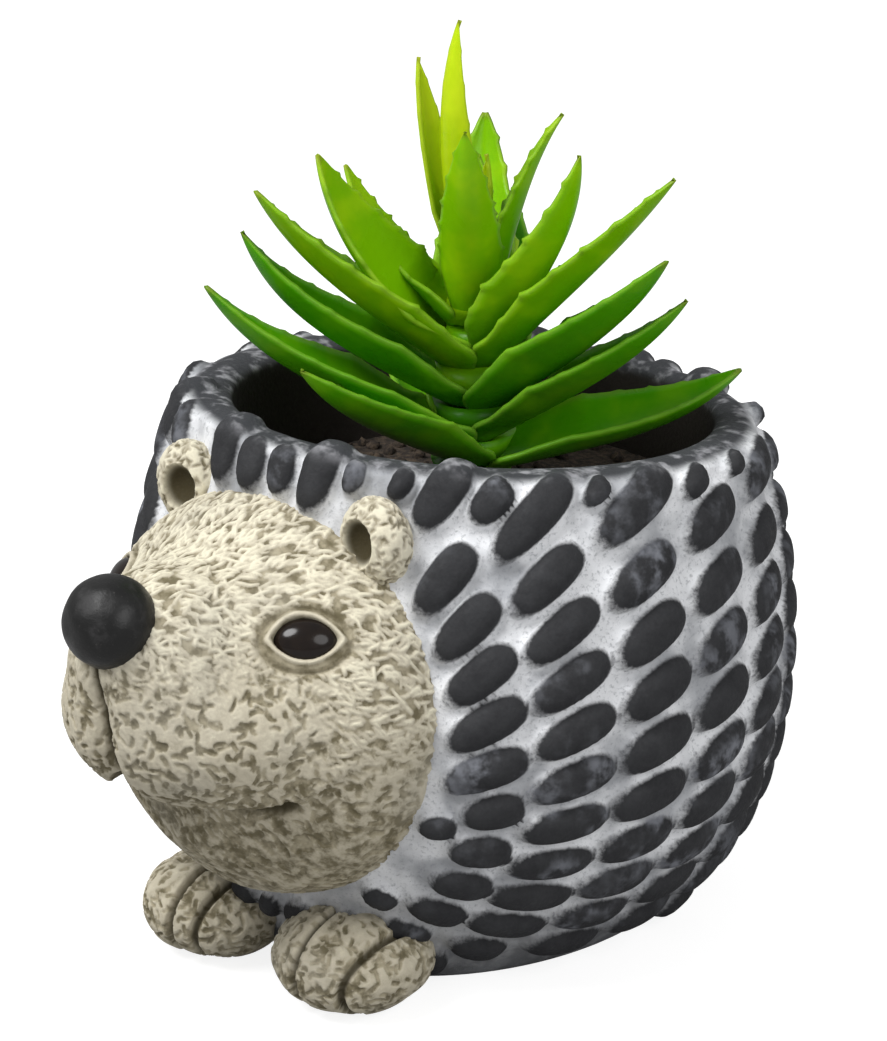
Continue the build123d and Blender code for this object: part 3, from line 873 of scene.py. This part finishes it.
color = paint.mix(paint.step(paint.noise(900, 4), 0.35, 0.7), (0.016, 0.011, 0.008), (0.075, 0.052, 0.034))
links.new(color, shader.inputs["Base Color"])
links.new(paint.bump(paint.noise(2500, 3), 0.3 * mm), shader.inputs["Normal"])
shader.inputs["Roughness"].default_value = 0.95
soil.data.materials.append(soil_paint)
foam_paint, nodes, links, shader = new_material("foam_paint")
paint = Nodes(foam_paint.node_tree)
cells = paint.noise(1800, 2)
links.new(paint.mix(cells, (0.03, 0.09, 0.03), (0.09, 0.19, 0.08)), shader.inputs["Base Color"])
links.new(paint.bump(cells, 0.4 * mm), shader.inputs["Normal"])
shader.inputs["Roughness"].default_value = 1.0
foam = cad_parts["foam_plug"]
foam.data.materials.clear()
foam.data.materials.append(foam_paint)

# Plant: rosettes of soft moulded plastic leaves, pushed one above another on a wire-cored stem.
# Each rosette is one moulding: broad channelled blades whose roots wrap the stem and join in a cup,
# with a short sleeve under it where it stands clear of the one below.
leaf_rows = 52
leaf_columns = 14
leaf_shell = 0.7 * mm
leaf_root = 2.9 * mm
leaf_tip_share = 0.012
leaf_taper = 2.2
leaf_point = 0.8
leaf_join_end = 0.08
leaf_join_fade = 0.3
leaf_overlap = 1.02
channel_curve = 1.8
sag_peak = 0.4725
leaf_cup_share = 1.2
leaf_cup_end = 0.12
leaf_cup_fade = 0.25
sleeve_low = 5.2 * mm
sleeve_row = 5
sleeve_gap = 1.8 * mm
sleeve_least = 1 * mm
sleeve_columns = 48
sleeve_rim_tone = 0.3
tooth_count = 8
tooth_sizes = {"leaf_deep": 0.3 * mm, "leaf_mid": 0.6 * mm, "leaf_lime": 0.15 * mm}
# Each leaf is its turn, reach, tip height, bow as a share of its length, half width and twist.
rosettes = (
    (
        "leaf_whorl_1", 76.5, 0.55, "leaf_deep",
        ((34, 43.5, 94.5, 0.08, 9.4, 6), (154, 43, 95, 0.05, 9.2, 0), (274, 44, 103, 0.05, 9.6, -6)),
    ),
    (
        "leaf_whorl_2", 80.5, 0.5, "leaf_deep",
        ((9, 40, 110.5, 0.05, 8.8, 6), (129, 42, 106, 0.05, 9, 0), (249, 47, 113, 0.07, 9.4, -6)),
    ),
    (
        "leaf_whorl_3", 86, 0.6, "leaf_deep",
        ((2, 38.5, 118, 0.05, 9.2, 6), (122, 39, 112, 0.05, 9, 0), (242, 39.5, 119.5, 0.09, 9.4, -6)),
    ),
    (
        "leaf_whorl_4", 92.5, 0.5, "leaf_mid",
        ((10, 37, 129.5, 0.02, 8, 6), (130, 37, 120, 0.03, 8.6, 0), (250, 38.5, 127.5, 0.05, 8.8, -6)),
    ),
    (
        "leaf_whorl_5", 94, 0.45, "leaf_mid",
        ((7, 20.5, 131.5, 0.08, 9, 6), (127, 23, 130, 0.05, 6.6, 0), (247, 27, 131.5, 0.07, 9.4, -45)),
    ),
    (
        "crown_whorl", 99.6, 0.4, "leaf_mid",
        (
            (-55, 13, 135.5, 0.05, 6.2, 0), (37, 14.5, 135.5, -0.04, 5.2, 0),
            (127, 11, 126, 0.03, 4.4, 0), (217, 20.5, 126.5, 0.06, 4.6, -20),
        ),
    ),
    (
        "top_tuft", 104.6, 0.4, "leaf_lime",
        ((-82, 4.6, 151.5, 0.07, 4.2, 0), (97, 4, 128, 0.02, 2.6, 0), (217, 9.2, 144.5, 0.01, 4.2, -50)),
    ),
)
leaf_greens = {
    "leaf_deep": ((0.022, 0.13, 0.001), (0.065, 0.31, 0.001), (0.14, 0.40, 0.002)),
    "leaf_mid": ((0.08, 0.26, 0.001), (0.19, 0.45, 0.001), (0.33, 0.56, 0.002)),
    "leaf_lime": ((0.14, 0.30, 0.002), (0.42, 0.60, 0.004), (0.55, 0.70, 0.010)),
}


def leaf_spine(reach, height, bow, base):
    """Places and slopes along the middle of a leaf that sags from its root and turns up to its tip."""
    root = Vector((leaf_root, base))
    chord = Vector((reach * mm, height * mm)) - root
    below = Vector((chord.y, -chord.x)) * bow / sag_peak
    places = []
    for share in np.linspace(0, 1, leaf_rows + 1):
        place = root + chord * share + below * (share - share**4)
        way = chord + below * (1 - 4 * share**3)
        places.append((place.x, place.y, math.atan2(way.y, way.x)))
    return places


def add_leaf(built, layers, spine, cup, turn, half_width, depth, twist, wrap, tooth_size, tone):
    """One channelled leaf with small teeth along its edges, its root joined to the cup."""
    along_layer, edge_layer, tone_layer = layers
    outward = Vector((math.cos(turn), math.sin(turn), 0))
    made = bmesh.ops.create_grid(built, x_segments=leaf_columns, y_segments=leaf_rows, size=0.5)
    for corner in made["verts"]:
        share = corner.co.y + 0.5
        side = 2 * corner.co.x
        row = round(share * leaf_rows)
        reach, height, slope = spine[row]
        blade = half_width * max(leaf_tip_share, max(1 - share**leaf_taper, 0) ** leaf_point)
        spread = min(max((share - leaf_cup_end) / leaf_cup_fade, 0), 1)
        flare = wrap * min(reach, leaf_cup_share * half_width) * (1 - spread**2 * (3 - 2 * spread))
        width = max(min(blade, wrap * reach), flare)
        tooth = max(0, math.sin(2 * math.pi * tooth_count * share)) ** 4
        tooth *= min(1, 12 * max(share - 0.2, 0) * (1 - share))
        width += tooth_size * tooth * abs(side) ** 8
        free = min(max((share - leaf_join_end) / leaf_join_fade, 0), 1)
        joined = side**2 * (1 - free)
        reach += (cup[row][0] - reach) * joined
        height += (cup[row][1] - height) * joined
        lift = depth * width * free * abs(side) ** channel_curve
        rolled = Matrix.Rotation(twist * free, 2) @ Vector((side * width, lift))
        angle = turn + rolled.x / reach
        over = Vector((0, 0, math.cos(slope))) - outward * math.sin(slope)
        corner.co = Vector((math.cos(angle) * reach, math.sin(angle) * reach, height)) + over * rolled.y
        corner[along_layer] = share
        corner[edge_layer] = abs(side)
        corner[tone_layer] = tone
    faces = list({face for corner in made["verts"] for face in corner.link_faces})
    bmesh.ops.recalc_face_normals(built, faces=faces)
    bmesh.ops.solidify(built, geom=faces, thickness=leaf_shell)


def leaf_paint(name, greens):
    """Soft green plastic, darker at the root, with pale edges and a dry tip."""
    material, nodes, links, shader = new_material(name)
    paint = Nodes(material.node_tree)
    along = paint.attribute("along")
    edge = paint.attribute("edge")
    tone = paint.attribute("tone")
    cloud = paint.noise(110, 3)
    dark, green, light = greens
    out_from_root = paint.math("ADD", along, paint.math("MULTIPLY", tone, 0.3))
    color = paint.mix(paint.step(out_from_root, 0.0, 0.6), dark, green)
    color = paint.mix(paint.step(cloud, 0.42, 0.72, 0.0, 0.8), color, light)
    color = paint.mix(paint.step(edge, 0.9, 1.0, 0.0, 0.3), color, (0.26, 0.36, 0.05))
    color = paint.mix(paint.step(along, 0.96, 1.0, 0.0, 0.5), color, (0.16, 0.11, 0.02))
    links.new(color, shader.inputs["Base Color"])
    links.new(paint.step(cloud, 0.3, 0.7, 0.24, 0.42), shader.inputs["Roughness"])
    links.new(paint.bump(paint.noise(420, 3), 0.25 * mm, 0.35), shader.inputs["Normal"])
    shader.inputs["Specular IOR Level"].default_value = 0.14
    shader.inputs["Subsurface Weight"].default_value = 0.12
    shader.inputs["Subsurface Radius"].default_value = (0.6, 1.0, 0.2)
    shader.inputs["Subsurface Scale"].default_value = 1.5 * mm
    return material


leaf_materials = {slot: leaf_paint(slot + "_plastic", greens) for slot, greens in leaf_greens.items()}
chance = random.Random(23)
below = soil_high.z
for name, base, depth, slot, leaves in rosettes:
    rosette_mesh = bmesh.new()
    layers = [rosette_mesh.verts.layers.float.new(kind) for kind in ("along", "edge", "tone")]
    spines = [leaf_spine(reach, height, bow, base * mm) for turn, reach, height, bow, width, twist in leaves]
    cup = np.mean(spines, axis=0)
    wrap = leaf_overlap * math.pi / len(leaves)
    for (turn, reach, height, bow, width, twist), spine in zip(leaves, spines):
        turn = math.radians(turn)
        twist = math.radians(twist)
        tone = chance.random()
        tooth = tooth_sizes[slot]
        add_leaf(rosette_mesh, layers, spine, cup, turn, width * mm, depth, twist, wrap, tooth, tone)
    if base * mm - below > sleeve_gap + sleeve_least:
        foot = below + sleeve_gap
        rim = (cup[sleeve_row][0], 0, cup[sleeve_row][1] - leaf_shell)
        places = ((leaf_root, 0, foot), (sleeve_low, 0, foot), rim, (leaf_root, 0, base * mm))
        profile = [rosette_mesh.verts.new(place) for place in places]
        profile[2][layers[0]] = sleeve_rim_tone
        spin_round(rosette_mesh, profile, sleeve_columns)
        bmesh.ops.recalc_face_normals(rosette_mesh, faces=rosette_mesh.faces)
    below = base * mm
    rosette = new_piece(name + "_leaves", rosette_mesh, name, slot, name)
    rosette.data.materials.append(leaf_materials[slot])
stem_paint, nodes, links, shader = new_material("stem_paint")
paint = Nodes(stem_paint.node_tree)
color = paint.mix(paint.noise(200, 3), (0.02, 0.10, 0.005), (0.09, 0.22, 0.02))
links.new(color, shader.inputs["Base Color"])
links.new(paint.bump(paint.noise(900, 2), 0.2 * mm), shader.inputs["Normal"])
shader.inputs["Roughness"].default_value = 0.5
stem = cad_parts["stem"]
stem.data.materials.clear()
stem.data.materials.append(stem_paint)

# Studio: a white floor, a large soft key light above and to the left, and a weaker fill.
# Floor and sky show white to the camera, and throw only a weak, even light on the object.
floor_glow = 1.42
floor_glow_share = 0.6
floor_lit = 0.4
floor_seen = 0.5
sky_lit = 0.42
sky_seen = 0.58
camera_lens = 149.76
camera_place = (0.38306, -0.43275, 0.27634)
camera_way = (-0.6288, 0.6983, -0.3420)
light_aim = (0, 0, 0.06)
floor_mesh = bmesh.new()
bmesh.ops.create_grid(floor_mesh, x_segments=1, y_segments=1, size=3)
floor_data = bpy.data.meshes.new("floor")
floor_mesh.to_mesh(floor_data)
floor_mesh.free()
floor = bpy.data.objects.new("floor", floor_data)
bpy.context.scene.collection.objects.link(floor)
floor_paint, nodes, links, shader = new_material("floor_paint")
shader.inputs["Roughness"].default_value = 0.9
glow = nodes.new("ShaderNodeEmission")
glow.inputs["Color"].default_value = (1, 1, 1, 1)
glow.inputs["Strength"].default_value = floor_glow
mixer = nodes.new("ShaderNodeMixShader")
seen = nodes.new("ShaderNodeLightPath")
output = nodes["Material Output"]
glow_share = nodes.new("ShaderNodeMath")
glow_share.operation = "MULTIPLY"
glow_share.inputs[1].default_value = floor_glow_share
links.new(seen.outputs["Is Camera Ray"], glow_share.inputs[0])
shade = nodes.new("ShaderNodeMath")
shade.operation = "MULTIPLY_ADD"
shade.inputs[1].default_value = floor_seen
shade.inputs[2].default_value = floor_lit
links.new(seen.outputs["Is Camera Ray"], shade.inputs[0])
links.new(shade.outputs[0], shader.inputs["Base Color"])
links.new(glow_share.outputs[0], mixer.inputs[0])
links.new(shader.outputs[0], mixer.inputs[1])
links.new(glow.outputs[0], mixer.inputs[2])
links.new(mixer.outputs[0], output.inputs["Surface"])
floor.data.materials.append(floor_paint)

world = bpy.data.worlds.new("studio")
bpy.context.scene.world = world
world.use_nodes = True
sky = world.node_tree.nodes["Background"]
sky.inputs["Color"].default_value = (1, 1, 1, 1)
ray = world.node_tree.nodes.new("ShaderNodeLightPath")
level = world.node_tree.nodes.new("ShaderNodeMath")
level.operation = "MULTIPLY_ADD"
level.inputs[1].default_value = sky_seen
level.inputs[2].default_value = sky_lit
world.node_tree.links.new(ray.outputs["Is Camera Ray"], level.inputs[0])
world.node_tree.links.new(level.outputs[0], sky.inputs["Strength"])


def add_light(name, place, aim, size, power):
    """A round area light that looks at a point."""
    lamp = bpy.data.lights.new(name, "AREA")
    lamp.shape = "DISK"
    lamp.size = size
    lamp.energy = power
    light = bpy.data.objects.new(name, lamp)
    bpy.context.scene.collection.objects.link(light)
    light.location = place
    light.rotation_euler = (Vector(aim) - Vector(place)).to_track_quat("-Z", "Y").to_euler()


add_light("key", (-0.2, -0.6, 0.95), light_aim, 0.6, 12)
add_light("fill", (0.9, -0.1, 0.6), light_aim, 0.7, 4)

camera_data = bpy.data.cameras.new("camera")
camera_data.sensor_fit = "HORIZONTAL"
camera_data.sensor_width = 36
camera_data.lens = camera_lens
camera = bpy.data.objects.new("camera", camera_data)
bpy.context.scene.collection.objects.link(camera)
camera.location = camera_place
camera.rotation_euler = Vector(camera_way).to_track_quat("-Z", "Y").to_euler()
bpy.context.scene.camera = camera
bpy.context.scene.view_settings.view_transform = "Standard"
